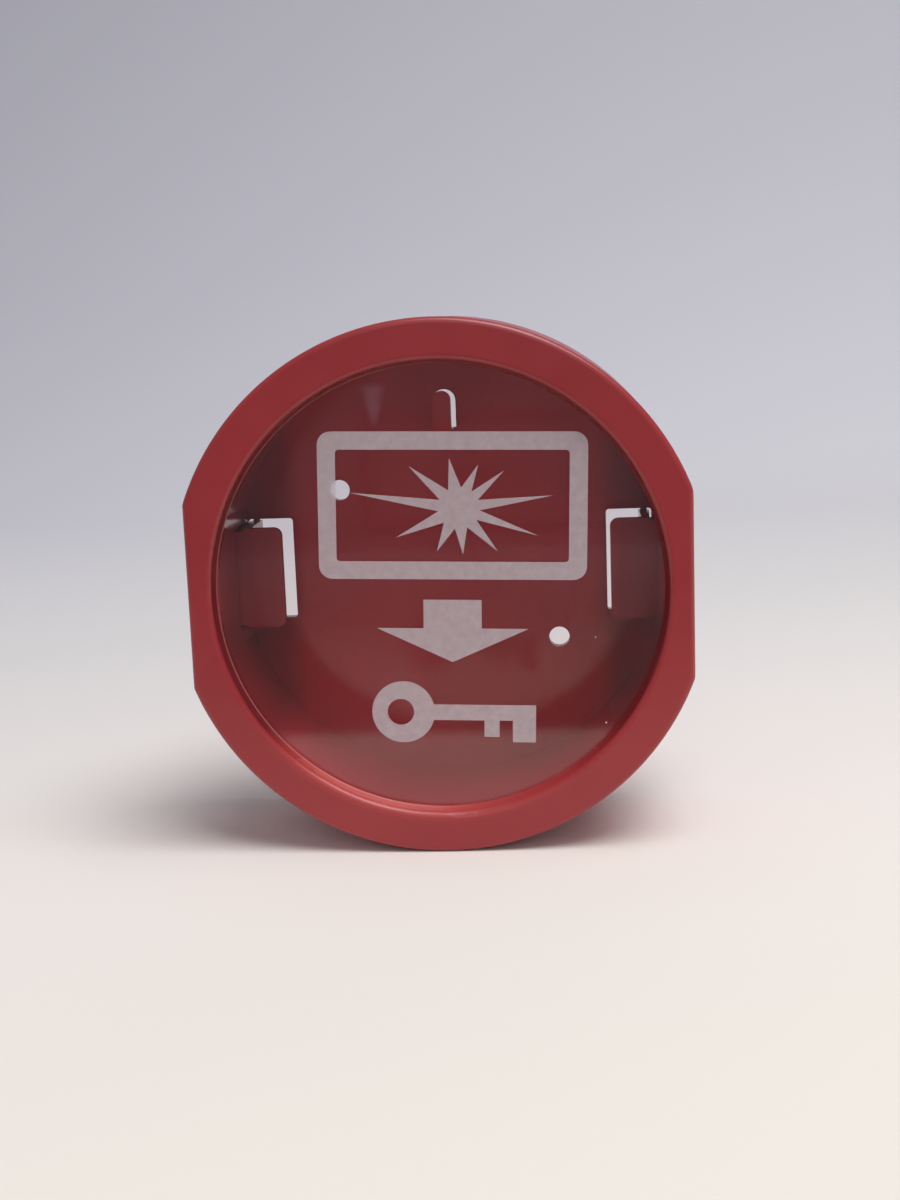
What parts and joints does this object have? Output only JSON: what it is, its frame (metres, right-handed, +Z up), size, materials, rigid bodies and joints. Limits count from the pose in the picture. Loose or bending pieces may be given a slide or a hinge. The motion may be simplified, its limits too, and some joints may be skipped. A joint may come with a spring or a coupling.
{
  "type": "break glass key box",
  "caption": "Round red wall box for an emergency key: back box with a key hook, and a latched front ring that holds a breakable clear disc.",
  "frame": {"origin": "centre of the back face, which lies against the wall", "axes": "+Z up as the box hangs on a wall, +X to the right seen from the front, and the front faces -Y"},
  "size_m": [0.1124, 0.044, 0.12],
  "materials": {
    "cover_plastic": "satin moulded red plastic",
    "box_plastic": "smooth moulded red plastic",
    "clear_disc": "clear polished glass"
  },
  "bodies": {
    "base": {"back_box": "box_plastic", "key_hook": "box_plastic"},
    "cover": {"front_cover": "cover_plastic", "glass_disc": "clear_disc"},
    "left_latch": {"latch_left": "box_plastic"},
    "right_latch": {"latch_right": "box_plastic"}
  },
  "joints": [
    {"name": "cover_pull", "type": "slide", "parent": "base", "child": "cover", "axis": [0, -1, 0], "range_m": [0, 0.05]},
    {"name": "latch_left_flex", "type": "hinge", "parent": "base", "child": "left_latch", "pos_m": [-0.04755, -0.0013, 0], "axis": [0, 0, 1], "range_deg": [0, 8], "stiffness_Nm_per_rad": 0.02},
    {"name": "latch_right_flex", "type": "hinge", "parent": "base", "child": "right_latch", "pos_m": [0.04755, -0.0013, 0], "axis": [0, 0, -1], "range_deg": [0, 8], "stiffness_Nm_per_rad": 0.02}
  ]
}
